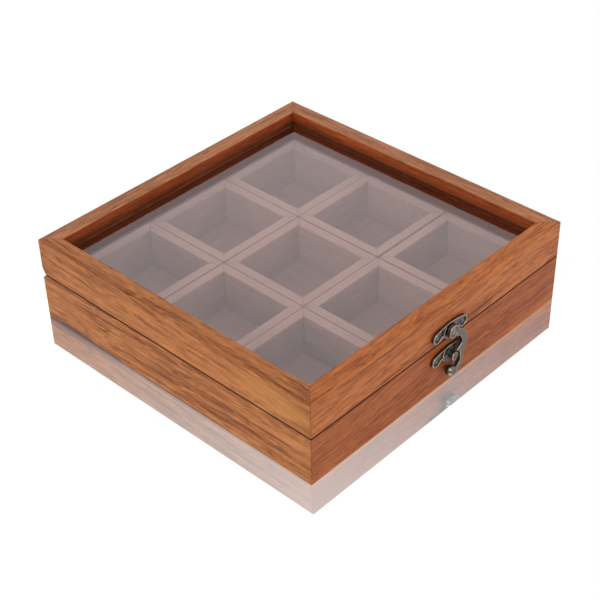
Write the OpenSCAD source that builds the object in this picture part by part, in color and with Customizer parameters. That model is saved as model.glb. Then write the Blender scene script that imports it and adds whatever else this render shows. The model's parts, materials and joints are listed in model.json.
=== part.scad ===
// Square wooden spice box with a glazed lid on two back hinges, nine loose cups
// and a swing hook latch. Millimetres. The origin is the middle of the underside,
// the latch faces -Y and the hinges are in the back seam at +Y.

/* [Box] */
// Outside width, side to side
box_w = 203; // [170:1:260]
// Outside depth, front to back
box_d = 203; // [170:1:260]
// Height of the base boards
base_h = 30.5; // [30:0.5:50]
// Thickness of the boards and rails
board_t = 10; // [9:0.5:14]
// Thickness of the bottom panel
panel_t = 4; // [3:0.5:6]
// Width of the rebate that holds the bottom panel
rebate_w = 5; // [3:0.5:7]
// Rounding of the outer edges of the wood
edge_r = 0.8; // [0.4:0.1:1.5]
// Rounding of the edges that meet at the seam
seam_edge_r = 0.3; // [0.2:0.1:0.6]

/* [Lid] */
// Height of the lid rails
lid_h = 22.5; // [20:0.5:35]
// Gap between the base and the closed lid
seam_gap = 0.5; // [0.3:0.1:1]
// Thickness of the glass pane
glass_t = 2.5; // [2:0.5:4]
// Depth of the glass below the top of the lid
glass_drop = 7.3; // [4:0.1:9]
// Depth of the groove that holds the glass
groove_depth = 4; // [2:0.5:6]
// Gap between the glass and its groove
glass_clear = 0.2; // [0.1:0.05:0.3]
// Easing of the inner top edges of the rails
inner_ease = 0.5; // [0.2:0.1:1]
// How far the back bevels reach in from the back face
bevel_in = 2.7; // [2.2:0.1:3]
// Height of the bevel on the lid
lid_bevel_h = 5.6; // [3:0.1:8]
// Height of the bevel on the base
base_bevel_h = 2.5; // [1.5:0.1:4]

/* [Cups] */
// Height of a cup
cup_h = 29.8; // [20:0.1:32]
// Thickness of a cup wall
cup_wall = 5.3; // [3:0.1:8]
// Thickness of a cup floor
cup_floor = 4.6; // [2:0.1:8]
// Mean gap beside a cup
cup_gap = 1; // [0.6:0.1:2]
// Least gap beside a cup
cup_clear = 0.3; // [0.2:0.05:0.5]
// Width of the glue line between two cup walls
cup_glue = 0.06; // [0.04:0.02:0.2]

/* [Hinges] */
// Distance of a hinge from the middle of the back
hinge_x = 60; // [40:1:70]
// Length of a hinge
hinge_l = 24; // [20:1:36]
// Width of a hinge leaf, from the pin to its edge
leaf_w = 6.6; // [5.8:0.1:7]
// Thickness of a hinge leaf
leaf_t = 0.9; // [0.7:0.1:1.2]
// Outer radius of a hinge knuckle
knuckle_r = 1.6; // [1.4:0.1:1.8]
// Radius of the hinge pin
pin_r = 0.8; // [0.6:0.05:0.9]
// Running clearance between a pin and its bore
pin_clear = 0.04; // [0.02:0.01:0.08]
// Gap around a knuckle and between two knuckles
knuckle_gap = 0.35; // [0.3:0.05:0.5]
// Gap around a leaf in its mortise
leaf_gap = 0.2; // [0.1:0.05:0.4]
// Distance of a screw from the end of the leaf
screw_inset = 4.5; // [3.5:0.5:6]
// Distance of a screw from the pin
screw_y = 4.2; // [3.9:0.1:4.6]
// Radius of a screw head
screw_head_r = 1.5; // [1.2:0.1:1.8]
// Radius of a screw shank
screw_r = 0.8; // [0.6:0.05:1]
// Length of a screw below its leaf
screw_l = 8; // [5:0.5:12]
// Gap around a screw or a nail
fixing_clear = 0.04; // [0.02:0.01:0.08]

/* [Latch] */
// Distance of the latch from the middle of the front
latch_x = 2.8; // [-20:0.1:20]
// Height of the pivot above the bottom of the lid
pivot_up = 6.2; // [5.8:0.1:9]
// Distance of the catch post below the top of the base
post_down = 8.8; // [8:0.1:10]
// Thickness of the latch plates
plate_t = 2; // [1.6:0.1:2.6]
// Width of the raised rim of a plate
plate_rim = 0.9; // [0.6:0.1:1.3]
// Depth of the hollow inside the rim
plate_hollow = 0.8; // [0.4:0.1:1]
// Radius of the round middle of a plate
boss_r = 5.2; // [4.8:0.1:5.6]
// Radius of the round ends of a plate
ear_r = 3.6; // [3:0.1:4]
// Distance of a nail from the middle of its plate
nail_x = 10.2; // [9.8:0.1:12]
// Gap between the hook and the plates
hook_gap = 0.3; // [0.2:0.05:0.5]
// Thickness of the hook
hook_t = 2.5; // [2:0.1:3.2]
// Outer radius of the eye of the hook
eye_r = 4; // [3.6:0.1:4.4]
// Radius of the rivet through the eye
rivet_r = 1.3; // [1:0.1:1.6]
// Radius of the rivet head
rivet_head_r = 2.2; // [1.9:0.1:2.6]
// Radius of the ball at the end of the hook
ball_r = 3.2; // [2.8:0.1:3.3]
// Radius of the catch post
post_r = 2.4; // [2:0.1:2.5]
// Distance that the post stands out from the wood
post_l = 6; // [5.6:0.1:7]
// Radius of a nail head
nail_head_r = 1.6; // [1.2:0.1:1.8]
// Radius of a nail shank
nail_r = 0.6; // [0.5:0.05:0.8]
// Length of a nail in the wood
nail_l = 7; // [4:0.5:8]

/* [Hidden] */
$fn = 48;
rows = ["front", "middle", "back"];
columns = ["left", "middle", "right"];
sides = ["left", "right"];
// How far each loose cup has slid from its middle place, as a share of its play, to the
// right and to the back
cup_slide = [
    [[0.2, 0.6], [-0.4, 0.9], [0.3, -1]],
    [[0.3, -0.5], [-0.3, -0.2], [-0.2, 0.7]],
    [[0.5, -0.3], [0.1, -0.6], [-0.5, -0.4]]
];

inner_w = box_w - 2 * board_t;
inner_d = box_d - 2 * board_t;
cup_w = (inner_w - 4 * cup_gap) / 3;
cup_d = (inner_d - 4 * cup_gap) / 3;
cup_play = (cup_gap - cup_clear) / 2;

lid_z = base_h + seam_gap;
lid_top = lid_z + lid_h;
glass_z = lid_top - glass_drop - glass_t;

axis_y = box_d / 2 - bevel_in;
axis_z = base_h + seam_gap / 2;
third = hinge_l / 6;
relief_r = knuckle_r + knuckle_gap;

front_y = -box_d / 2;
pivot_z = lid_z + pivot_up;
post_z = base_h - post_down;
post_rise = post_z - pivot_z;
hook_y = plate_t + hook_gap;
eye_hollow = 0.7;
head_rise = 0.8;
rivet_back = 2;
plate_crown = 1.4;
plate_belly = 1.6;

// A rectangle standing on y = 0 with its own rounding below and above
module soft_rect(w, h, r_low, r_high) {
    difference() {
        translate([-w / 2, 0]) square([w, h]);
        for (s = [-1, 1]) {
            corner_cut(s * w / 2, 0, -s, 1, r_low);
            corner_cut(s * w / 2, h, -s, -1, r_high);
        }
    }
}

// What a rounding of radius r takes off one corner of a rectangle
module corner_cut(x, y, to_x, to_y, r) {
    difference() {
        translate([x - r, y - r]) square(2 * r);
        translate([x + to_x * r, y + to_y * r]) circle(r = r);
        translate([x + to_x * r - (to_x > 0 ? 0 : 2 * r), y - 2 * r]) square([2 * r, 4 * r]);
        translate([x - 2 * r, y + to_y * r - (to_y > 0 ? 0 : 2 * r)]) square([4 * r, 2 * r]);
    }
}

// The whole outside of the base or the lid, with every outer edge rounded
module eased_block(z, h, r_low, r_high) {
    translate([0, 0, z]) intersection() {
        linear_extrude(h) translate([0, -box_d / 2]) soft_rect(box_w, box_d, edge_r, edge_r);
        translate([0, box_d / 2, 0]) rotate([90, 0, 0]) linear_extrude(box_d)
            soft_rect(box_w, h, r_low, r_high);
        translate([-box_w / 2, 0, 0]) rotate([90, 0, 90]) linear_extrude(box_w)
            soft_rect(box_d, h, r_low, r_high);
    }
}

// The plan of one mitred piece of a rectangular frame, on the named side, with half of the
// glue line taken off each of its mitres
module mitred_plan(side, w, d, t, glue) {
    long = (side == "front" || side == "back") ? w : d;
    deep = (side == "front" || side == "back") ? d : w;
    turn = side == "front" ? 0 : side == "right" ? 90 : side == "back" ? 180 : 270;
    x = (long - glue) / 2;
    rotate(turn) translate([0, -deep / 2]) polygon([[-x, 0], [x, 0], [x - t, t], [-x + t, t]]);
}

// A bar along X with a triangular section, which bevels the back of the seam
module back_bevel(rise) {
    translate([-box_w / 2 - 1, axis_y, 0]) rotate([90, 0, 90]) linear_extrude(box_w + 2)
        polygon([[0, 0], [bevel_in * 1.5, 0], [bevel_in * 1.5, rise * 1.5]]);
}

// The room that both hinges take up in the wood, with up = 1 in the lid and -1 in the base
module hinge_mortises(up) {
    long = hinge_l + 2 * leaf_gap;
    deep = leaf_t + seam_gap / 2;
    for (s = [-1, 1]) translate([s * hinge_x, axis_y, axis_z]) {
        translate([-long / 2, -leaf_w - leaf_gap, up > 0 ? 0 : -deep])
            cube([long, leaf_w + leaf_gap, deep]);
        rotate([0, 90, 0]) cylinder(r = relief_r, h = long, center = true);
        screw_places() cylinder(r = screw_r + fixing_clear, h = 2 * (deep + screw_l), center = true);
    }
}

// Puts its children where the two screws of a leaf go, seen from the pin
module screw_places() {
    for (s = [-1, 1]) translate([s * (hinge_l / 2 - screw_inset), -screw_y, 0]) children();
}

module base_board(side) {
    color([0.68, 0.41, 0.25]) difference() {
        intersection() {
            eased_block(0, base_h, edge_r, seam_edge_r);
            linear_extrude(base_h) mitred_plan(side, box_w, box_d, board_t, 0);
        }
        translate([0, 0, panel_t / 2]) cube([
            inner_w + 2 * rebate_w, inner_d + 2 * rebate_w, panel_t], center = true);
        if (side != "front") translate([0, 0, base_h]) mirror([0, 0, 1]) back_bevel(base_bevel_h);
        if (side == "back") hinge_mortises(-1);
        if (side == "front") nail_bores(post_z);
    }
}

module base_bottom_panel() {
    color([0.62, 0.42, 0.28]) translate([0, 0, panel_t / 2]) cube([
        inner_w + 2 * rebate_w - 2 * fixing_clear,
        inner_d + 2 * rebate_w - 2 * fixing_clear, panel_t], center = true);
}

module lid_rail(side) {
    color([0.68, 0.43, 0.3]) difference() {
        intersection() {
            eased_block(lid_z, lid_h, seam_edge_r, edge_r);
            translate([0, 0, lid_z]) linear_extrude(lid_h)
                mitred_plan(side, box_w, box_d, board_t, 0);
        }
        translate([0, 0, glass_z + (glass_t + glass_clear) / 2]) cube([
            inner_w + 2 * groove_depth, inner_d + 2 * groove_depth, glass_t + glass_clear],
            center = true);
        inner_edge_cut(side);
        if (side != "front") translate([0, 0, lid_z]) back_bevel(lid_bevel_h);
        if (side == "back") hinge_mortises(1);
        if (side == "front") {
            nail_bores(pivot_z);
            front_at(pivot_z) translate([0, 0, -rivet_back])
                cylinder(r = rivet_r + fixing_clear, h = rivet_back + 1);
        }
    }
}

// The chamfer along the inner top edge of one lid rail
module inner_edge_cut(side) {
    turn = side == "front" ? 0 : side == "right" ? 90 : side == "back" ? 180 : 270;
    reach = (side == "front" || side == "back") ? inner_d / 2 : inner_w / 2;
    rotate(turn) translate([0, -reach, lid_top]) rotate([45, 0, 0])
        cube([box_w + box_d, inner_ease * sqrt(2), inner_ease * sqrt(2)], center = true);
}

module lid_glass() {
    color([0.75, 0.8, 0.82, 0.4]) translate([0, 0, glass_z + glass_t / 2]) cube([
        inner_w + 2 * groove_depth - 2 * glass_clear,
        inner_d + 2 * groove_depth - 2 * glass_clear, glass_t], center = true);
}

// Puts its children at one cup's place in the box, with the cup's middle at the origin
module cup_at(r, c) {
    translate([
        (c - 1) * (cup_w + cup_gap) + cup_play * cup_slide[r][c][0],
        (r - 1) * (cup_d + cup_gap) + cup_play * cup_slide[r][c][1],
        panel_t]) children();
}

module cup_walls(r, c) {
    color([0.72, 0.5, 0.36]) cup_at(r, c)
        for (side = ["front", "back", "left", "right"])
            linear_extrude(cup_h) mitred_plan(side, cup_w, cup_d, cup_wall, cup_glue);
}

module cup_floor_board(r, c) {
    color([0.66, 0.47, 0.34]) cup_at(r, c) translate([0, 0, cup_floor / 2])
        cube([cup_w - 2 * cup_wall, cup_d - 2 * cup_wall, cup_floor], center = true);
}

// A hinge leaf with its knuckles, seen from the pin, with up = 1 for the lid
module hinge_leaf(side, up) {
    outer = hinge_l / 2 - third - knuckle_gap / 2;
    color([0.62, 0.5, 0.27]) hinge_at(side) difference() {
        union() {
            translate([-hinge_l / 2, -leaf_w, up > 0 ? seam_gap / 2 : -seam_gap / 2 - leaf_t])
                cube([hinge_l, leaf_w, leaf_t]);
            if (up > 0) knuckle(0, 2 * third - knuckle_gap);
            if (up < 0) for (s = [-1, 1]) knuckle(s * (hinge_l / 2 - outer / 2), outer);
        }
        rotate([0, 90, 0]) cylinder(r = pin_r + pin_clear, h = hinge_l + 2, center = true);
        if (up < 0) relief(0, 2 * third + knuckle_gap);
        if (up > 0) for (s = [-1, 1]) relief(s * (hinge_l / 2), 2 * (hinge_l / 2 - third) + knuckle_gap);
        screw_places() screw_cone(up, fixing_clear);
    }
}

module hinge_at(side) {
    translate([side == "left" ? -hinge_x : hinge_x, axis_y, axis_z]) children();
}

module knuckle(x, l) {
    translate([x, 0, 0]) rotate([0, 90, 0]) cylinder(r = knuckle_r, h = l, center = true);
}

module relief(x, l) {
    translate([x, 0, 0]) rotate([0, 90, 0]) cylinder(r = relief_r, h = l, center = true);
}

// The countersunk head of a screw, as wide as extra makes it
module screw_cone(up, extra) {
    mirror([0, 0, up > 0 ? 0 : 1]) translate([0, 0, seam_gap / 2])
        cylinder(r1 = screw_head_r + extra, r2 = screw_r + extra, h = leaf_t);
}

module hinge_pin(side) {
    color([0.5, 0.42, 0.25]) hinge_at(side) rotate([0, 90, 0])
        cylinder(r = pin_r, h = hinge_l, center = true);
}

module hinge_screws(side, up) {
    slot_w = screw_head_r / 4;
    color([0.6, 0.5, 0.3]) hinge_at(side) screw_places() difference() {
        union() {
            screw_cone(up, 0);
            mirror([0, 0, up > 0 ? 0 : 1]) translate([0, 0, seam_gap / 2 + leaf_t]) {
                cylinder(r = screw_r, h = screw_l - screw_r);
                translate([0, 0, screw_l - screw_r]) cylinder(r1 = screw_r, r2 = screw_r / 4, h = screw_r);
            }
        }
        translate([0, 0, up * seam_gap / 2]) cube([2 * screw_head_r, slot_w, leaf_t], center = true);
    }
}

// Puts its children on the front face at the latch, with their Z pointing out of the wood
module front_at(z) {
    translate([latch_x, front_y, z]) rotate([90, 0, 0]) children();
}

module nail_places() {
    for (s = [-1, 1]) translate([s * nail_x, 0, 0]) children();
}

module nail_bores(z) {
    front_at(z) nail_places() translate([0, 0, -nail_l])
        cylinder(r = nail_r + fixing_clear, h = nail_l + 1);
}

// The outline of a plate drawn in by inset: a bowed band, two round ends and a round middle
module plate_band(inset) {
    rise = ear_r + plate_crown;
    bow_r = (nail_x * nail_x + plate_crown * plate_crown) / (2 * plate_crown);
    for (s = [-1, 1]) translate([s * nail_x, 0]) circle(r = ear_r - inset);
    intersection() {
        translate([0, rise - bow_r]) circle(r = bow_r - inset, $fn = 180);
        translate([-nail_x, inset - plate_belly]) square([2 * nail_x, 2 * rise]);
    }
}

// A stamped plate with a raised rim and a boss in the middle
module latch_plate(boss_drop) {
    difference() {
        linear_extrude(plate_t) {
            plate_band(0);
            translate([0, -boss_drop]) circle(r = boss_r);
        }
        translate([0, 0, plate_t - plate_hollow]) linear_extrude(plate_t) difference() {
            plate_band(plate_rim);
            translate([0, -boss_drop]) circle(r = boss_r);
        }
        nail_places() cylinder(r = nail_r + fixing_clear, h = 3 * plate_t, center = true);
    }
}

module latch_hook_plate() {
    color([0.33, 0.29, 0.25]) front_at(pivot_z) difference() {
        latch_plate(0);
        cylinder(r = rivet_r + fixing_clear, h = 3 * plate_t, center = true);
    }
}

module latch_catch_plate() {
    color([0.33, 0.29, 0.25]) front_at(post_z) union() {
        latch_plate(0);
        cylinder(r = post_r, h = post_l - seam_edge_r);
        translate([0, 0, post_l - seam_edge_r])
            cylinder(r1 = post_r, r2 = post_r - seam_edge_r, h = seam_edge_r);
    }
}

// A round cap of radius r and height rise, standing on z = 0
module cap(r, rise) {
    sphere_r = (r * r + rise * rise) / (2 * rise);
    intersection() {
        translate([0, 0, rise - sphere_r]) sphere(r = sphere_r);
        cylinder(r = r, h = rise);
    }
}

module plate_nails(z) {
    seat = plate_t - plate_hollow;
    color([0.55, 0.47, 0.33]) front_at(z) nail_places() {
        translate([0, 0, -nail_l + nail_r]) cylinder(r = nail_r, h = nail_l - nail_r + seat);
        translate([0, 0, -nail_l]) cylinder(r1 = nail_r / 4, r2 = nail_r, h = nail_r);
        translate([0, 0, seat]) cap(nail_head_r, head_rise);
    }
}

module latch_pivot_rivet() {
    head_y = hook_y + hook_t - eye_hollow + pin_clear;
    color([0.5, 0.44, 0.36]) front_at(pivot_z) {
        translate([0, 0, -rivet_back]) cylinder(r = rivet_r, h = rivet_back + head_y);
        translate([0, 0, head_y]) cap(rivet_head_r, head_rise);
    }
}

// The part of a flat ring between two angles less than 150 degrees apart
module arc_band(r_in, r_out, from, to) {
    far = 1.5 * r_out;
    half = (from + to) / 2;
    intersection() {
        difference() {
            circle(r = r_out, $fn = 96);
            circle(r = r_in, $fn = 96);
        }
        polygon([[0, 0], for (a = [from, half, to]) far * [cos(a), sin(a)]]);
    }
}

// The hook, seen from its pivot: an eye, a bowed arm with a cusp that stops on the post,
// a hooked end that thickens downwards, and a ball
module latch_hook() {
    bow_y = -10;
    bow_in = 6.4;
    bow_out = 10.6;
    cusp_x = post_r + 0.5;
    bend_y = post_rise - 6.8;
    end_y = post_rise - 10.6;
    outer_x = 8.2;
    color([0.4, 0.35, 0.3]) front_at(pivot_z) translate([0, 0, hook_y]) {
        difference() {
            union() {
                linear_extrude(hook_t) {
                    circle(r = eye_r);
                    translate([0.4, bow_y]) arc_band(bow_in, bow_out, -42, 90);
                    polygon([[6.9, bow_y - 1], [cusp_x, post_rise + 1.4], [6.3, post_rise - 0.6]]);
                    polygon([[5.2, post_rise + 0.4], [outer_x + 0.1, post_rise - 1.2],
                        [outer_x + 0.1, bend_y], [outer_x - 2.1, bend_y + 0.6]]);
                    hook_bend(0.9, bend_y, 7.3);
                }
                translate([-0.4, end_y, hook_t / 2]) rotate(180) sphere(r = ball_r);
            }
            translate([0, 0, hook_t - eye_hollow]) cylinder(r = rivet_head_r + 0.6, h = hook_t);
            translate([0, 0, -1]) cylinder(r = rivet_r + pin_clear, h = hook_t + 2);
        }
    }
}

// A crescent that is narrow on the right and thick below
module hook_bend(x, y, r) {
    intersection() {
        difference() {
            translate([x, y]) circle(r = r, $fn = 96);
            translate([x + 0.5, y + 1.8]) circle(r = r - 2.4, $fn = 96);
        }
        polygon([[-0.4, y + 0.4], [x + 2 * r, y + 0.4], [x + 2 * r, y - 2 * r], [-0.4, y - 2 * r]]);
    }
}

base_board("front");  // base_front_board
base_board("back");  // base_back_board
base_board("left");  // base_left_board
base_board("right");  // base_right_board
base_bottom_panel();
for (r = [0:2]) for (c = [0:2]) {
    cup_name = str("cup_", rows[r], "_", columns[c]);
    cup_walls(r, c);
    cup_floor_board(r, c);
}
lid_rail("front");  // lid_front_rail
lid_rail("back");  // lid_back_rail
lid_rail("left");  // lid_left_rail
lid_rail("right");  // lid_right_rail
lid_glass();
for (s = sides) {
    hinge_name = str("hinge_", s);
    hinge_leaf(s, -1);
    hinge_leaf(s, 1);
    hinge_pin(s);
    hinge_screws(s, -1);
    hinge_screws(s, 1);
}
latch_hook_plate();
latch_pivot_rivet();
latch_hook();
latch_catch_plate();
plate_nails(pivot_z);  // latch_hook_plate_nails
plate_nails(post_z);  // latch_catch_plate_nails
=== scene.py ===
import json
from math import pi, radians

import bpy
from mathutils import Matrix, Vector

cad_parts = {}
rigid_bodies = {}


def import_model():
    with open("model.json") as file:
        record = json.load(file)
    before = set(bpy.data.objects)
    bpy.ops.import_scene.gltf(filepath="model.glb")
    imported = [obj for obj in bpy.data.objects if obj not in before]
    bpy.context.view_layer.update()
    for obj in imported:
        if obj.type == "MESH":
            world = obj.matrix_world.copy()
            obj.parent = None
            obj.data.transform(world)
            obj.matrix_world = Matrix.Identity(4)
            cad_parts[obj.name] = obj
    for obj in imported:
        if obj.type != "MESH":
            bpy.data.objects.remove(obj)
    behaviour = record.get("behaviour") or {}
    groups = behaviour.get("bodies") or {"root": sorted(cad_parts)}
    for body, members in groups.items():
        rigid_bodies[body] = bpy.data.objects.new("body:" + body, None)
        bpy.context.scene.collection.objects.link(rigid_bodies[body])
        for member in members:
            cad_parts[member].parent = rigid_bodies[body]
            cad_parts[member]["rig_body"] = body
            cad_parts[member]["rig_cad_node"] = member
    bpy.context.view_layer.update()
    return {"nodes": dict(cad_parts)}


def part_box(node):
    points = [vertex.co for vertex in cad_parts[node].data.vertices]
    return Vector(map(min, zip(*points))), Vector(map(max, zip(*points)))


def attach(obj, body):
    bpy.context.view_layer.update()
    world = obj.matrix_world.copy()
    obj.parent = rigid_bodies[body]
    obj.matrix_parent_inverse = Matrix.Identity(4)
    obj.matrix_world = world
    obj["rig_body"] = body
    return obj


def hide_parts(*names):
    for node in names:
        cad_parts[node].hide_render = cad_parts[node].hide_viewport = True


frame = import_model()
nodes = frame["nodes"]
bpy.ops.object.select_all(action="DESELECT")

# The base is four boards of oiled hardwood with mitred corners, sawn along the grain, sanded
# and eased on their edges, round a thin panel. The boards keep their shape and get a solid wood
# figure that runs along each of them.
front_low, front_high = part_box("base_front_board")
base_top = front_high.z
seam_z = (base_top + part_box("lid_front_rail")[0].z) / 2
EDGE = -front_low.y
EVERYWHERE = 1.0
ALONG_X = 0.0
ALONG_Y = pi / 2
GOLDEN = (0.455, 0.172, 0.048, 1)
GOLDEN_DEEP = (0.17, 0.040, 0.008, 1)
RUDDY = (0.49, 0.152, 0.038, 1)
RUDDY_DARK = (0.38, 0.105, 0.024, 1)
RUDDY_DEEP = (0.22, 0.042, 0.007, 1)
PANEL_PALE = (0.52, 0.30, 0.16, 1)
PANEL_DEEP = (0.33, 0.17, 0.08, 1)
PORE_BROWN = (0.075, 0.020, 0.007, 1)
SEAM_OIL = (0.060, 0.012, 0.003, 1)
SEAM_SHARE = 0.85
GLUE_SHARE = 0.7
OILED_SHINE = 0.2
SANDED_RELIEF = 0.35
RELIEF_DEPTH = 0.0002


def add(tree, kind, **values):
    """A new node of that kind, with its properties and the values of its inputs."""
    made = tree.nodes.new(kind)
    for key, value in values.items():
        if hasattr(made, key):
            setattr(made, key, value)
        else:
            made.inputs[key.replace("_", " ")].default_value = value
    return made


def join(tree, *pairs):
    """Links each (output socket, input socket) pair."""
    for out, into in pairs:
        tree.links.new(out, into)


def calc(tree, operation, a, b=None):
    """A Math node on sockets or numbers, and its output."""
    made = add(tree, "ShaderNodeMath", operation=operation)
    for slot, value in enumerate(v for v in (a, b) if v is not None):
        if isinstance(value, (int, float)):
            made.inputs[slot].default_value = value
        else:
            tree.links.new(value, made.inputs[slot])
    return made.outputs[0]


def blend_colours(tree, share, a, b, mode="MIX"):
    """A Mix node of two colours, given as sockets or values, and its output."""
    made = add(tree, "ShaderNodeMix", data_type="RGBA", blend_type=mode)
    for slot, value in ((0, share), (6, a), (7, b)):
        if isinstance(value, (int, float, tuple)):
            made.inputs[slot].default_value = value
        else:
            tree.links.new(value, made.inputs[slot])
    return made.outputs[2]


def new_group(name, ins, outs):
    """An empty shader group: inputs as (name, kind, value or None), outputs as (name, kind)."""
    tree = bpy.data.node_groups.new(name, "ShaderNodeTree")
    for label, kind, value in ins:
        socket = tree.interface.new_socket(label, in_out="INPUT", socket_type="NodeSocket" + kind)
        if value is not None:
            socket.default_value = value
    for label, kind in outs:
        tree.interface.new_socket(label, in_out="OUTPUT", socket_type="NodeSocket" + kind)
    return tree, tree.nodes.new("NodeGroupInput").outputs, tree.nodes.new("NodeGroupOutput").inputs


def new_material(name):
    """A new material, its node tree and its Principled shader."""
    made = bpy.data.materials.new(name)
    made.use_nodes = True
    return made, made.node_tree, made.node_tree.nodes["Principled BSDF"]


def stretched_noise(tree, place, spots, detail, roughness=0.5):
    """Noise with so many spots a metre along each axis of place."""
    sized = add(tree, "ShaderNodeVectorMath", operation="MULTIPLY")
    sized.inputs[1].default_value = spots
    noise = add(tree, "ShaderNodeTexNoise", Scale=1.0, Detail=detail, Roughness=roughness)
    join(tree, (place, sized.inputs[0]), (sized.outputs[0], noise.inputs["Vector"]))
    return noise.outputs["Fac"]


def ramp(tree, value, low, high):
    """value mapped smoothly from low..high to 0..1, and clamped."""
    made = add(tree, "ShaderNodeMapRange", interpolation_type="SMOOTHSTEP", From_Min=low, From_Max=high)
    join(tree, (value, made.inputs["Value"]))
    return made.outputs["Result"]


def out_from_middle(tree, parts):
    """How far a split place is from the box's upright middle line, measured squarely."""
    return calc(tree, "MAXIMUM", calc(tree, "ABSOLUTE", parts.outputs["X"]),
                calc(tree, "ABSOLUTE", parts.outputs["Y"]))


def layer(tree, place, spots, detail, fade, share, roughness=0.5, fine=None):
    """Noise faded in between two of its levels, at a share that fine weakens where it is given."""
    noise = stretched_noise(tree, place, spots, detail, roughness)
    strength = share if fine is None else calc(tree, "MULTIPLY", fine, share)
    return calc(tree, "MULTIPLY", ramp(tree, noise, *fade), strength)


# The layers of the timber's figure, with their spots a metre along and across the grain
SWAY = dict(spots=(11, 30, 30), detail=2)
SWAY_DEPTH = 0.007
GROWTH = dict(spots=(3.4, 42, 42), detail=2)
GROWTH_TURNS = 75.0
GROWTH_SHARE = 0.13
BROAD_BANDS = dict(spots=(6, 62, 62), detail=3, fade=(0.34, 0.66), share=0.38)
STREAKS = dict(spots=(10, 380, 380), detail=5, roughness=0.65, fade=(0.32, 0.68), share=0.32)
FIBRES = dict(spots=(55, 1500, 1500), detail=4, roughness=0.65)
FIBRE_FADE = (0.34, 0.66)
FIBRE_SHARE = 0.44
PORES = dict(spots=(130, 1250, 1250), detail=2, fade=(0.55, 0.70), share=0.6)
DARK_LINES = dict(spots=(11, 850, 850), detail=2, fade=(0.61, 0.75), share=0.42)
LIGHT_LINES = dict(spots=(75, 1000, 1000), detail=3, fade=(0.51, 0.69), share=0.6)
LIGHT_LINE_GAIN = (1.30, 1.32, 1.45, 1)
SEED_STEP = (1.7, 0.31, 0.23)
MIDDLE_TONE = 0.58
DEEP_SHARE = 0.45
PLAIN_ROUGHNESS = 0.40
FIBRE_ROUGHNESS = 0.16
PORE_ROUGHNESS = 0.2
FIBRE_HEIGHT = 0.5


def timber_group():
    """Sawn hardwood with its grain along X: growth lines, streaks, fibres and short dark pores."""
    tree, given, out = new_group(
        "timber",
        [("Vector", "Vector", None), ("Pale", "Color", None), ("Deep", "Color", None),
         ("Pore", "Color", None), ("Seed", "Float", 0.0), ("Contrast", "Float", 1.0)],
        [("Color", "Color"), ("Roughness", "Float"), ("Height", "Float")])
    shift = add(tree, "ShaderNodeCombineXYZ")
    for axis, step in enumerate(SEED_STEP):
        join(tree, (calc(tree, "MULTIPLY", given["Seed"], step), shift.inputs[axis]))
    moved = add(tree, "ShaderNodeVectorMath", operation="ADD")
    join(tree, (given["Vector"], moved.inputs[0]), (shift.outputs[0], moved.inputs[1]))
    wave = calc(tree, "SUBTRACT", stretched_noise(tree, moved.outputs[0], **SWAY), 0.5)
    lift = calc(tree, "MULTIPLY", wave, SWAY_DEPTH)
    sway = add(tree, "ShaderNodeCombineXYZ")
    swayed = add(tree, "ShaderNodeVectorMath", operation="ADD")
    join(tree, (lift, sway.inputs["Y"]), (lift, sway.inputs["Z"]),
         (moved.outputs[0], swayed.inputs[0]), (sway.outputs[0], swayed.inputs[1]))
    place = swayed.outputs[0]

    rings = calc(tree, "MULTIPLY", stretched_noise(tree, place, **GROWTH), GROWTH_TURNS)
    fibres = stretched_noise(tree, place, **FIBRES)
    figure = calc(tree, "MULTIPLY", calc(tree, "SINE", rings), GROWTH_SHARE)
    for part in (layer(tree, place, **BROAD_BANDS), layer(tree, place, **STREAKS),
                 calc(tree, "MULTIPLY", ramp(tree, fibres, *FIBRE_FADE), FIBRE_SHARE)):
        figure = calc(tree, "ADD", figure, part)
    spread = calc(tree, "MULTIPLY", calc(tree, "SUBTRACT", figure, MIDDLE_TONE), given["Contrast"])
    deep = calc(tree, "ADD", spread, DEEP_SHARE)
    deep.node.use_clamp = True
    colour = blend_colours(tree, deep, given["Pale"], given["Deep"])

    fine = calc(tree, "MINIMUM", given["Contrast"], 1.0)
    pores = layer(tree, place, **PORES, fine=fine)
    dark = layer(tree, place, **DARK_LINES, fine=fine)
    light = layer(tree, place, **LIGHT_LINES, fine=fine)
    bright = blend_colours(tree, 1.0, given["Pale"], LIGHT_LINE_GAIN, "MULTIPLY")
    colour = blend_colours(tree, pores, colour, given["Pore"])
    colour = blend_colours(tree, dark, colour, given["Pore"])
    colour = blend_colours(tree, light, colour, bright)

    rough = calc(tree, "ADD", calc(tree, "MULTIPLY", fibres, FIBRE_ROUGHNESS), PLAIN_ROUGHNESS)
    rough = calc(tree, "ADD", rough, calc(tree, "MULTIPLY", pores, PORE_ROUGHNESS))
    height = calc(tree, "SUBTRACT", calc(tree, "MULTIPLY", fibres, FIBRE_HEIGHT), pores)
    join(tree, (colour, out["Color"]), (rough, out["Roughness"]), (height, out["Height"]))
    return tree


def mitre_line_group():
    """The dark glue line of mitred corners, on the planes where x and y are equally far out."""
    tree, given, out = new_group(
        "mitre_line", [("Vector", "Vector", None), ("Width", "Float", 0.00035)], [("Mask", "Float")])
    parts = add(tree, "ShaderNodeSeparateXYZ")
    join(tree, (given["Vector"], parts.inputs[0]))
    gap = calc(tree, "SUBTRACT", calc(tree, "ABSOLUTE", parts.outputs["X"]),
               calc(tree, "ABSOLUTE", parts.outputs["Y"]))
    near = calc(tree, "SUBTRACT", 1.0, calc(tree, "DIVIDE", calc(tree, "ABSOLUTE", gap), given["Width"]))
    near.node.use_clamp = True
    join(tree, (near, out["Mask"]))
    return tree


RAGGED = (120, 120, 500)
RAGGED_DEPTH = 0.8
STAIN_FADE = (1.0, 0.35)


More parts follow.
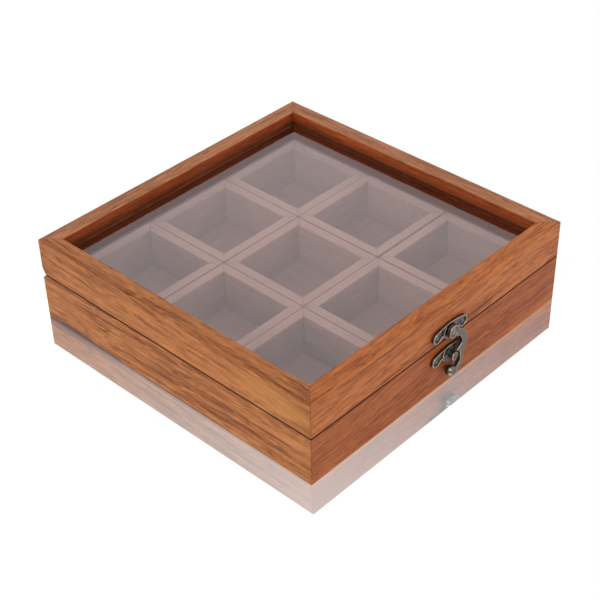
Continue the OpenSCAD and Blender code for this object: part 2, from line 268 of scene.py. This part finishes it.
def stain_and_light_group():
    """An oval with ragged edges round a centre, for stains and streaks in the wood and for painted
    highlights and shade.
    """
    tree, given, out = new_group(
        "stain_and_light", [("Vector", "Vector", None), ("Centre", "Vector", None), ("Reach", "Vector", None)],
        [("Mask", "Float")])
    away = add(tree, "ShaderNodeVectorMath", operation="SUBTRACT")
    shares = add(tree, "ShaderNodeVectorMath", operation="DIVIDE")
    length = add(tree, "ShaderNodeVectorMath", operation="LENGTH")
    join(tree, (given["Vector"], away.inputs[0]), (given["Centre"], away.inputs[1]),
         (away.outputs[0], shares.inputs[0]), (given["Reach"], shares.inputs[1]),
         (shares.outputs[0], length.inputs[0]))
    ragged = calc(tree, "SUBTRACT", stretched_noise(tree, given["Vector"], RAGGED, 3), 0.5)
    distance = calc(tree, "ADD", length.outputs["Value"], calc(tree, "MULTIPLY", ragged, RAGGED_DEPTH))
    join(tree, (ramp(tree, distance, *STAIN_FADE), out["Mask"]))
    return tree


SEAM_FADE = (0.0010, 0.0003)
OUTER_FACE_FADE = (-0.0012, -0.0004)


def seam_line_group():
    """The dark line of old oil where two boards meet at a height, on their outer faces alone."""
    tree, given, out = new_group(
        "seam_line", [("Vector", "Vector", None), ("Height", "Float", 0.03), ("Outside", "Float", 0.1)],
        [("Mask", "Float")])
    parts = add(tree, "ShaderNodeSeparateXYZ")
    join(tree, (given["Vector"], parts.inputs[0]))
    away = calc(tree, "ABSOLUTE", calc(tree, "SUBTRACT", parts.outputs["Z"], given["Height"]))
    outside = calc(tree, "SUBTRACT", out_from_middle(tree, parts), given["Outside"])
    mask = calc(tree, "MULTIPLY", ramp(tree, away, *SEAM_FADE), ramp(tree, outside, *OUTER_FACE_FADE))
    join(tree, (mask, out["Mask"]))
    return tree


TIMBER = timber_group()
MITRE_LINE = mitre_line_group()
STAIN_AND_LIGHT = stain_and_light_group()
SEAM_LINE = seam_line_group()


def wood(name, pale, deep, turn, seed, tilt=0.0, contrast=1.0, centre=(0, 0, 0), stains_and_painted_light=(),
         opening_shade=None, shine=OILED_SHINE, relief=SANDED_RELIEF):
    """Hardwood: its grain turned about Z from X and tilted, glue lines round centre, stains, painted
    highlights and shade, oil.
    """
    made, tree, shader = new_material(name)
    shader.inputs["Specular IOR Level"].default_value = shine
    coords = add(tree, "ShaderNodeTexCoord").outputs["Object"]
    grain = add(tree, "ShaderNodeMapping", vector_type="TEXTURE", Rotation=(0, tilt, turn))
    timber = add(tree, "ShaderNodeGroup", node_tree=TIMBER, Pale=pale, Deep=deep, Pore=PORE_BROWN,
                 Seed=seed, Contrast=contrast)
    colour = timber.outputs["Color"]
    # Stains and streaks in the wood, and painted highlights and shade, each an oval mark.
    for spot in stains_and_painted_light:
        stain_and_light = add(tree, "ShaderNodeGroup", node_tree=STAIN_AND_LIGHT, Centre=spot["middle"], Reach=spot["reach"])
        join(tree, (coords, stain_and_light.inputs["Vector"]))
        share = calc(tree, "MULTIPLY", stain_and_light.outputs["Mask"], spot["share"])
        colour = blend_colours(tree, share, colour, spot["tint"])
    seam = add(tree, "ShaderNodeGroup", node_tree=SEAM_LINE, Height=seam_z, Outside=EDGE)
    join(tree, (coords, seam.inputs["Vector"]))
    share = calc(tree, "MULTIPLY", seam.outputs["Mask"], SEAM_SHARE)
    colour = blend_colours(tree, share, colour, SEAM_OIL)
    # Painted shade on the faces in the lid's opening, where given.
    if opening_shade:
        colour = opening_shade(tree, coords, colour)
    square = add(tree, "ShaderNodeMapping", vector_type="TEXTURE", Location=centre)
    line = add(tree, "ShaderNodeGroup", node_tree=MITRE_LINE)
    share = calc(tree, "MULTIPLY", line.outputs["Mask"], GLUE_SHARE)
    colour = blend_colours(tree, share, colour, PORE_BROWN)
    bump = add(tree, "ShaderNodeBump", Strength=relief, Distance=RELIEF_DEPTH)
    join(tree, (coords, grain.inputs["Vector"]), (grain.outputs[0], timber.inputs["Vector"]),
         (coords, square.inputs["Vector"]), (square.outputs[0], line.inputs["Vector"]),
         (colour, shader.inputs["Base Color"]), (timber.outputs["Roughness"], shader.inputs["Roughness"]),
         (timber.outputs["Height"], bump.inputs["Height"]), (bump.outputs[0], shader.inputs["Normal"]))
    return made


def dress(node, material):
    """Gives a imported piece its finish."""
    nodes[node].data.materials.clear()
    nodes[node].data.materials.append(material)


left_streak = dict(middle=(-EDGE, 0.075, 0), reach=(0.01, 0.052, 0.0055),
                   tint=(0.075, 0.030, 0.034, 1), share=0.85)
# Painted shade: a thin dark purplish line along the bottom edge of the left board.
left_foot_painted_shade = dict(middle=(-EDGE, 0, 0), reach=(0.01, 0.10, 0.0026),
                        tint=(0.10, 0.040, 0.034, 1), share=0.7)
# A painted highlight: a pale orange line along the foot of the front board.
painted_foot_highlight = dict(middle=(0, -EDGE, 0), reach=(EVERYWHERE, 0.01, 0.0017),
                 tint=(0.66, 0.26, 0.060, 1), share=0.7)
# A painted shadow: a darker orange patch round the latch, on the front board and the front rail.
painted_latch_shadow = dict(middle=(0.003, -EDGE, base_top),reach=(0.021, 0.01, 0.019),
               tint=(0.40, 0.100, 0.018, 1), share=0.4)
# The left board carries a dark streak in the wood and the painted shade along its foot.
dress("base_left_board", wood("left_board_wood", GOLDEN, GOLDEN_DEEP, ALONG_Y, tilt=0.03, seed=1.0,
                              contrast=1.4, stains_and_painted_light=(left_streak, left_foot_painted_shade)))
# The front board carries the painted shadow round the latch and the painted highlight along its foot.
dress("base_front_board", wood("front_board_wood", RUDDY_DARK, RUDDY_DEEP, ALONG_X, tilt=-0.05, seed=2.3,
                               contrast=1.35, stains_and_painted_light=(painted_latch_shadow, painted_foot_highlight)))
dress("base_right_board", wood("right_board_wood", RUDDY, GOLDEN_DEEP, ALONG_Y, tilt=0.02, seed=3.1))
dress("base_back_board", wood("back_board_wood", GOLDEN, RUDDY_DEEP, ALONG_X, tilt=0.02, seed=4.6))
dress("base_bottom_panel", wood("panel_wood", PANEL_PALE, PANEL_DEEP, ALONG_X, seed=5.2))

# Nine loose square cups stand in the base in three rows. Each is four thin strips of sanded,
# unoiled wood mitred and glued round a floor, so it is paler and pinker than the box.
CUP_PALE = (0.47, 0.265, 0.190, 1)
CUP_DEEP = (0.24, 0.120, 0.080, 1)
# A painted highlight on the tops of the cups' rims: its tint, share and depth.
RIM_HIGHLIGHT_TINT = (0.72, 0.43, 0.35, 1)
RIM_HIGHLIGHT_SHARE = 0.34
RIM_HIGHLIGHT_DEPTH = 0.0012
RAW_SHINE = 0.08
RAW_RELIEF = 0.06
NO_MITRE = (2 * EDGE, 0, 0)
ROWS = ("front", "middle", "back")
COLUMNS = ("left", "middle", "right")
for r, row in enumerate(ROWS):
    for c, column in enumerate(COLUMNS):
        cup = f"cup_{row}_{column}"
        low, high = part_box(cup + "_walls")
        middle = ((low.x + high.x) / 2, (low.y + high.y) / 2, 0)
        turn = ALONG_X if (r + c) % 2 else ALONG_Y
        # The tops of the rims are painted lighter: a painted highlight where the light falls on them.
        painted_rim_highlight = dict(middle=(0, 0, high.z), reach=(EVERYWHERE, EVERYWHERE, RIM_HIGHLIGHT_DEPTH),
                   tint=RIM_HIGHLIGHT_TINT, share=RIM_HIGHLIGHT_SHARE)
        dress(cup + "_walls", wood(cup + "_wall_wood", CUP_PALE, CUP_DEEP, turn, tilt=0.03,
                                   seed=6 + 1.3 * r + 0.7 * c, contrast=0.35, centre=middle,
                                   stains_and_painted_light=(painted_rim_highlight,), shine=RAW_SHINE, relief=RAW_RELIEF))
        dress(cup + "_floor", wood(cup + "_floor_wood", CUP_PALE, CUP_DEEP, turn,
                                   seed=16 + 1.1 * r + c, contrast=0.3, centre=NO_MITRE,
                                   shine=RAW_SHINE, relief=RAW_RELIEF))

# The lid is a mitred frame of four rails of the same wood as the base, with a groove inside for
# the pane and a bevel along the back of its seam. The faces in its opening carry painted shade,
# darkest down at the pane.
HONEY = (0.435, 0.156, 0.043, 1)
# The back and right rails are pinker: partly the wood's own tone, partly painted sheen from light behind
# the box.
ROSY_AND_SHEEN = (0.475, 0.188, 0.078, 1)
ROSY_DEEP_AND_SHEEN = (0.22, 0.068, 0.023, 1)
# Painted shade on the faces in the lid's opening: its tint, a deeper tint at the pane, and how far above
# the pane it deepens.
OPENING_SHADE_TINT = (0.66, 0.35, 0.15, 1)
PANE_SHADE_TINT = (0.34, 0.16, 0.08, 1)
PANE_SHADE_HEIGHT = 0.005
INNER_FADE = (-0.0001, 0.0002)
PAST_FACE = 0.0003
OPENING = PAST_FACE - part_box("lid_left_rail")[1].x
pane_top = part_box("lid_glass")[1].z
lid_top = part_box("lid_front_rail")[1].z


def inner_face_group():
    """Within Reach of the middle line, squarely: Mask. Low runs from 0 at Top to 1 at Foot."""
    tree, given, out = new_group(
        "inner_face",
        [("Vector", "Vector", None), ("Reach", "Float", 0.09), ("Top", "Float", 0.05),
         ("Foot", "Float", 0.045)],
        [("Mask", "Float"), ("Low", "Float")])
    parts = add(tree, "ShaderNodeSeparateXYZ")
    join(tree, (given["Vector"], parts.inputs[0]))
    inside = calc(tree, "SUBTRACT", given["Reach"], out_from_middle(tree, parts))
    height = add(tree, "ShaderNodeMapRange")
    join(tree, (parts.outputs["Z"], height.inputs["Value"]), (given["Top"], height.inputs["From Min"]),
         (given["Foot"], height.inputs["From Max"]), (height.outputs[0], out["Low"]),
         (ramp(tree, inside, *INNER_FADE), out["Mask"]))
    return tree


INNER_FACE = inner_face_group()


def painted_opening_shade(tree, coords, colour):
    """colour, darkened with painted shade on the faces in the opening, most of all down at the pane."""
    inner = add(tree, "ShaderNodeGroup", node_tree=INNER_FACE, Reach=OPENING, Top=pane_top + PANE_SHADE_HEIGHT,
                Foot=pane_top)
    join(tree, (coords, inner.inputs["Vector"]))
    tint = blend_colours(tree, inner.outputs["Low"], OPENING_SHADE_TINT, PANE_SHADE_TINT)
    darkened = blend_colours(tree, 1.0, colour, tint, "MULTIPLY")
    return blend_colours(tree, inner.outputs["Mask"], colour, darkened)


golden_end = dict(middle=(-EDGE, -0.078, lid_top - 0.0115), reach=(0.012, 0.042, 0.013),
                  tint=(0.52, 0.23, 0.055, 1), share=0.4)
dark_line = dict(middle=(-0.02, -EDGE, lid_top - 0.003), reach=(0.09, 0.004, 0.0007),
                 tint=PORE_BROWN, share=0.55)
dress("lid_left_rail", wood("left_rail_wood", HONEY, GOLDEN_DEEP, ALONG_Y, tilt=-0.04, seed=31.4,
                            contrast=1.6, stains_and_painted_light=(golden_end,), opening_shade=painted_opening_shade))
# The front rail carries the painted shadow round the latch.
dress("lid_front_rail", wood("front_rail_wood", RUDDY, RUDDY_DEEP, ALONG_X, tilt=-0.04, seed=32.4,
                             contrast=1.4, stains_and_painted_light=(painted_latch_shadow, dark_line), opening_shade=painted_opening_shade))
# These two rails are pinker, partly with painted sheen.
dress("lid_right_rail", wood("right_rail_wood", ROSY_AND_SHEEN, ROSY_DEEP_AND_SHEEN, ALONG_Y, tilt=0.02, seed=33.7,
                             opening_shade=painted_opening_shade))
dress("lid_back_rail", wood("back_rail_wood", ROSY_AND_SHEEN, ROSY_DEEP_AND_SHEEN, ALONG_X, tilt=0.02, seed=34.2,
                            opening_shade=painted_opening_shade))

# The pane is clear float glass, held in the groove of the rails. It lets light straight through
# and mirrors the pale room over the cups, more so at a low angle, from either side.
GLASS_IOR = 1.52
GLASS_CLEAR = (0.93, 0.92, 0.93, 1)
GLASS_MIRROR = (1, 0.95, 0.98, 1)
GLASS_ROUGHNESS = 0.03


def pane_glass():
    """Clear and mirror shaders mixed by Fresnel, whose own flip on back faces is undone."""
    made, tree, plain = new_material("pane_glass")
    tree.nodes.remove(plain)
    clear = add(tree, "ShaderNodeBsdfTransparent", Color=GLASS_CLEAR)
    mirror = add(tree, "ShaderNodeBsdfGlossy", Roughness=GLASS_ROUGHNESS, Color=GLASS_MIRROR)
    back = add(tree, "ShaderNodeNewGeometry").outputs["Backfacing"]
    bend = calc(tree, "ADD", calc(tree, "MULTIPLY", back, 1 / GLASS_IOR - GLASS_IOR), GLASS_IOR)
    fresnel = add(tree, "ShaderNodeFresnel")
    both = add(tree, "ShaderNodeMixShader")
    join(tree, (bend, fresnel.inputs["IOR"]), (fresnel.outputs[0], both.inputs[0]),
         (clear.outputs[0], both.inputs[1]), (mirror.outputs[0], both.inputs[2]),
         (both.outputs[0], tree.nodes["Material Output"].inputs["Surface"]))
    return made


dress("lid_glass", pane_glass())

# Two small butt hinges are let into the back seam, each two brass leaves with rolled knuckles
# on a steel pin and held by countersunk screws.
BRASS = (0.56, 0.40, 0.16, 1)
BRASS_DARK = (0.22, 0.14, 0.06, 1)
STEEL = (0.5, 0.47, 0.43, 1)
STEEL_DARK = (0.2, 0.18, 0.16, 1)
TARNISH_FADE = (0.4, 0.7)
TARNISH_DULLING = 0.3


def tarnish_group():
    """Tarnish on metal: soft dark blotches that are duller, and fine specks four times smaller."""
    tree, given, out = new_group(
        "tarnish",
        [("Vector", "Vector", None), ("Bright", "Color", None), ("Dark", "Color", None),
         ("Scale", "Float", 900.0), ("Polish", "Float", 0.25)],
        [("Color", "Color"), ("Roughness", "Float"), ("Height", "Float")])
    coarse = add(tree, "ShaderNodeTexNoise", Detail=4.0, Roughness=0.6)
    fine = add(tree, "ShaderNodeTexNoise", Detail=2.0)
    join(tree, (given["Vector"], coarse.inputs["Vector"]), (given["Scale"], coarse.inputs["Scale"]),
         (given["Vector"], fine.inputs["Vector"]),
         (calc(tree, "MULTIPLY", given["Scale"], 4.0), fine.inputs["Scale"]))
    blotch = coarse.outputs["Fac"]
    colour = blend_colours(tree, ramp(tree, blotch, *TARNISH_FADE), given["Bright"], given["Dark"])
    roughness = calc(tree, "ADD", calc(tree, "MULTIPLY", blotch, TARNISH_DULLING), given["Polish"])
    join(tree, (colour, out["Color"]), (roughness, out["Roughness"]), (fine.outputs["Fac"], out["Height"]))
    return tree


TARNISH = tarnish_group()


def metal(name, wear, relief=0.25, depth=0.00006, **values):
    """Metal with the colour, roughness and relief of a wear group that is given these values."""
    made, tree, shader = new_material(name)
    shader.inputs["Metallic"].default_value = 1.0
    worn = add(tree, "ShaderNodeGroup", node_tree=wear, **values)
    bump = add(tree, "ShaderNodeBump", Strength=relief, Distance=depth)
    join(tree, (add(tree, "ShaderNodeTexCoord").outputs["Object"], worn.inputs["Vector"]),
         (worn.outputs["Color"], shader.inputs["Base Color"]),
         (worn.outputs["Roughness"], shader.inputs["Roughness"]),
         (worn.outputs["Height"], bump.inputs["Height"]), (bump.outputs[0], shader.inputs["Normal"]))
    if "Sharp" in worn.inputs:
        join(tree, (add(tree, "ShaderNodeNewGeometry").outputs["Pointiness"], worn.inputs["Sharp"]))
    return made


hinge_brass = metal("hinge_brass", TARNISH, Bright=BRASS, Dark=BRASS_DARK)
hinge_steel = metal("hinge_steel", TARNISH, Bright=STEEL, Dark=STEEL_DARK)
for side in ("left", "right"):
    for leaf in ("box", "lid"):
        dress(f"hinge_{side}_{leaf}_leaf", hinge_brass)
        dress(f"hinge_{side}_{leaf}_screws", hinge_brass)
    dress(f"hinge_{side}_pin", hinge_steel)

# The latch is cast in zinc with an antique bronze finish. The hook plate on the lid and the
# catch plate on the base are each a bowed band with a hollow, a nailed ear at both ends and a
# round boss. The casting has soft edges, which are rubbed bright.
BRONZE = (0.75, 0.63, 0.47, 1)
BRONZE_DARK = (0.088, 0.072, 0.066, 1)
CAST_GRID = 0.00013
CAST_MERGE = 0.000002
CAST_BLOTCH = (700, 700, 700)
CAST_SPECK = (4200, 4200, 4200)
BLOTCH_SHARE = 0.03
DARK_ROUGHNESS = 0.34
RUBBED_POLISH = 0.12


def edge_wear_group():
    """Rubbed edges of a dark casting: Sharp, how far a spot sticks out, gives bare metal."""
    tree, given, out = new_group(
        "edge_wear",
        [("Vector", "Vector", None), ("Sharp", "Float", 0.5), ("Dark", "Color", None),
         ("Bare", "Color", None), ("Low", "Float", 0.51), ("High", "Float", 0.58)],
        [("Color", "Color"), ("Roughness", "Float"), ("Height", "Float")])
    blotch = stretched_noise(tree, given["Vector"], CAST_BLOTCH, 3)
    speck = stretched_noise(tree, given["Vector"], CAST_SPECK, 2)
    edge = calc(tree, "ADD", given["Sharp"], calc(tree, "MULTIPLY", blotch, BLOTCH_SHARE))
    rubbed = add(tree, "ShaderNodeMapRange", interpolation_type="SMOOTHSTEP")
    join(tree, (edge, rubbed.inputs["Value"]), (given["Low"], rubbed.inputs["From Min"]),
         (given["High"], rubbed.inputs["From Max"]))
    colour = blend_colours(tree, rubbed.outputs[0], given["Dark"], given["Bare"])
    polish = calc(tree, "MULTIPLY", rubbed.outputs[0], RUBBED_POLISH)
    roughness = calc(tree, "SUBTRACT", DARK_ROUGHNESS, polish)
    join(tree, (colour, out["Color"]), (roughness, out["Roughness"]), (speck, out["Height"]))
    return tree


EDGE_WEAR = edge_wear_group()


def bronze_finish(name, dark, low, high):
    """Antique bronze: dark in the hollows, and bare on edges that are sharper than low to high."""
    return metal(name, EDGE_WEAR, relief=0.2, depth=0.00005, Dark=dark, Bare=BRONZE, Low=low, High=high)


def apply_modifier(piece, kind, **settings):
    """Adds a modifier to piece with its settings and applies it."""
    bpy.context.view_layer.objects.active = piece
    made = piece.modifiers.new(kind.lower(), kind)
    for key, value in settings.items():
        setattr(made, key, value)
    bpy.ops.object.modifier_apply(modifier=made.name)


def cast(node, name, body, material, rounds):
    """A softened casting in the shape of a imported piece, which it stands for."""
    bpy.ops.object.select_all(action="DESELECT")
    piece = nodes[node].copy()
    piece.data = nodes[node].data.copy()
    piece.parent = None
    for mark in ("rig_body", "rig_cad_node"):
        del piece[mark]
    bpy.context.scene.collection.objects.link(piece)
    piece.name = piece.data.name = name
    piece.select_set(True)
    bpy.context.view_layer.objects.active = piece
    bpy.ops.object.mode_set(mode="EDIT")
    bpy.ops.mesh.select_all(action="SELECT")
    bpy.ops.mesh.remove_doubles(threshold=CAST_MERGE)
    bpy.ops.object.mode_set(mode="OBJECT")
    apply_modifier(piece, "REMESH", mode="VOXEL", voxel_size=CAST_GRID)
    apply_modifier(piece, "SMOOTH", factor=0.5, iterations=rounds)
    bpy.ops.object.shade_smooth()
    piece.select_set(False)
    piece.data.materials.clear()
    piece.data.materials.append(material)
    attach(piece, body)
    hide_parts(node)


plate_bronze = bronze_finish("plate_bronze", BRONZE_DARK, low=0.512, high=0.575)
cast("latch_hook_plate", "cast_hook_plate", "lid", plate_bronze, rounds=6)
cast("latch_catch_plate", "cast_catch_plate", "box", plate_bronze, rounds=6)

# Four round-headed steel nails hold the plates, one through each ear, and a domed rivet that is
# set in the hook plate holds the hook.
NAIL_STEEL = (0.16, 0.155, 0.165, 1)
RIVET_BRONZE = (0.26, 0.235, 0.215, 1)
for nails in ("latch_hook_plate_nails", "latch_catch_plate_nails"):
    dress(nails, metal(nails + "_steel", TARNISH, Bright=NAIL_STEEL, Dark=BRONZE_DARK))
rivet_bronze = metal("rivet_bronze", TARNISH, Bright=RIVET_BRONZE, Dark=BRONZE_DARK, Polish=0.2)
dress("latch_pivot_rivet", rivet_bronze)

# The hook is one casting that swings on the rivet: an eye with a hollow, a bowed arm, a cusp
# beside the post, and a round bend that ends in a ball for the finger.
HOOK_PLAIN = (0.135, 0.110, 0.102, 1)
hook_bronze = bronze_finish("hook_bronze", HOOK_PLAIN, low=0.515, high=0.58)
cast("latch_hook", "cast_hook", "latch_hook", hook_bronze, rounds=30)

# The camera looks down on the front left corner of the box through a long lens. Its place, turn
# in degrees and lens were fitted to the corners of the box in the photograph.
EYE = (-0.46593, -0.44696, 0.49779)
EYE_TURN = (52.675, 1.044, -46.904)
LENS = 85.78
FILM_WIDTH = 36
bpy.ops.object.camera_add(location=EYE, rotation=[radians(angle) for angle in EYE_TURN])
camera = bpy.context.object
camera.data.lens = LENS
camera.data.sensor_width = FILM_WIDTH
camera.data.clip_start = 0.01
bpy.context.scene.camera = camera

# The box stands on a white sheet that is gloss under it and a little way round, less so towards
# the camera, and matt beyond. Looked at or mirrored, it is nearly plain white with a faint shadow.
SHEET_SIZE = 8
SHEET_DROP = 0.00005
WHITE = (1, 1, 1, 1)
CHALK = (0.95, 0.95, 0.95, 1)
GLOSS = (0.86, 0.86, 0.86, 1)
GLOSS_ROUGHNESS = 0.04
GLOSS_REACH = 0.1150
AWAY_FROM_CAMERA = (1, 1, 0)
GLOSS_NEAR = 0.55
GLOSS_FAR = 0.90
SEEN_WHITE = 1.02
SEEN_SHARE = 0.94
bpy.ops.mesh.primitive_plane_add(size=SHEET_SIZE, location=(0, 0, -SHEET_DROP))
floor = bpy.context.object
floor.name = "white_sheet"
sheet, tree, plain = new_material("white_gloss_sheet")
tree.nodes.remove(plain)
chalk = add(tree, "ShaderNodeBsdfDiffuse", Color=CHALK)
seen_white = add(tree, "ShaderNodeEmission", Color=WHITE, Strength=SEEN_WHITE)
gloss = add(tree, "ShaderNodeBsdfGlossy", Roughness=GLOSS_ROUGHNESS, Color=GLOSS)
matt = add(tree, "ShaderNodeMixShader")
surface = add(tree, "ShaderNodeMixShader")
path = add(tree, "ShaderNodeLightPath").outputs
direct = calc(tree, "MAXIMUM", path["Is Camera Ray"],
              calc(tree, "MAXIMUM", path["Is Glossy Ray"], path["Is Transmission Ray"]))
coords = add(tree, "ShaderNodeTexCoord").outputs["Object"]
tile = add(tree, "ShaderNodeGroup", node_tree=INNER_FACE, Reach=GLOSS_REACH)
along = add(tree, "ShaderNodeVectorMath", operation="DOT_PRODUCT")
along.inputs[1].default_value = AWAY_FROM_CAMERA
shine = add(tree, "ShaderNodeMapRange", From_Min=-2 * GLOSS_REACH, From_Max=0.0,
            To_Min=GLOSS_NEAR, To_Max=GLOSS_FAR)
join(tree, (coords, tile.inputs["Vector"]), (coords, along.inputs[0]),
     (along.outputs["Value"], shine.inputs["Value"]),
     (calc(tree, "MULTIPLY", direct, SEEN_SHARE), matt.inputs[0]), (chalk.outputs[0], matt.inputs[1]),
     (seen_white.outputs[0], matt.inputs[2]),
     (calc(tree, "MULTIPLY", tile.outputs["Mask"], shine.outputs[0]), surface.inputs[0]),
     (matt.outputs[0], surface.inputs[1]), (gloss.outputs[0], surface.inputs[2]),
     (surface.outputs[0], tree.nodes["Material Output"].inputs["Surface"]))
floor.data.materials.append(sheet)


# The box is lit by a large soft lamp on its left and a weaker one on its right. Neither is
# mirrored: the window of the room gives the highlights.
def soft_lamp(name, place, aim, size, power):
    """A large square lamp turned towards a point."""
    bpy.ops.object.light_add(type="AREA", location=place)
    lamp = bpy.context.object
    lamp.name = name
    lamp.data.size = size
    lamp.data.energy = power
    lamp.visible_glossy = False
    lamp.rotation_euler = (Vector(aim) - Vector(place)).to_track_quat("-Z", "Y").to_euler()


soft_lamp("left_lamp", (-1.55, -0.3, 0.7), aim=(0, 0, 0), size=0.7, power=11)
soft_lamp("right_lamp", (0.8, -1.25, 0.6), aim=(0.08, 0, 0), size=0.5, power=4.5)

# The room is plain white. Mirrors see it darker near the ground and bright overhead, with one
# window. Its light depends on the kind of ray that meets it, so it isn't sampled as a lamp.
ROOM_LIGHT = 0.70
ROOM_SEEN = 1.0
ROOM_LOW = 0.30
ROOM_HIGH = 1.40
SKYLINE = (-0.02, 0.30)
WINDOW_LIGHT = 4.0
WINDOW_WAY = (-0.56, -0.28, 0.78)
WINDOW_EDGE = (0.92, 0.975)
world = bpy.data.worlds.new("white_room")
bpy.context.scene.world = world
world.use_nodes = True
world.cycles.sampling_method = "NONE"
tree = world.node_tree
path = add(tree, "ShaderNodeLightPath").outputs
way = add(tree, "ShaderNodeTexCoord").outputs["Generated"]
parts = add(tree, "ShaderNodeSeparateXYZ")
towards = add(tree, "ShaderNodeVectorMath", operation="DOT_PRODUCT")
towards.inputs[1].default_value = WINDOW_WAY
join(tree, (way, parts.inputs[0]), (way, towards.inputs[0]))
window = calc(tree, "MULTIPLY", ramp(tree, towards.outputs["Value"], *WINDOW_EDGE), WINDOW_LIGHT)
high_up = ramp(tree, parts.outputs["Z"], *SKYLINE)
mirrored = calc(tree, "ADD", ROOM_LOW, calc(tree, "MULTIPLY", high_up, ROOM_HIGH - ROOM_LOW))
mirrored = calc(tree, "ADD", mirrored, window)
seen = calc(tree, "MAXIMUM", path["Is Camera Ray"], path["Is Transmission Ray"])
unseen = add(tree, "ShaderNodeMix", data_type="FLOAT")
unseen.inputs["A"].default_value = ROOM_LIGHT
strength = add(tree, "ShaderNodeMix", data_type="FLOAT")
strength.inputs["B"].default_value = ROOM_SEEN
room = tree.nodes["Background"]
room.inputs["Color"].default_value = WHITE
join(tree, (path["Is Glossy Ray"], unseen.inputs["Factor"]), (mirrored, unseen.inputs["B"]),
     (seen, strength.inputs["Factor"]), (unseen.outputs["Result"], strength.inputs["A"]),
     (strength.outputs["Result"], room.inputs["Strength"]))
bpy.context.scene.view_settings.view_transform = "Standard"
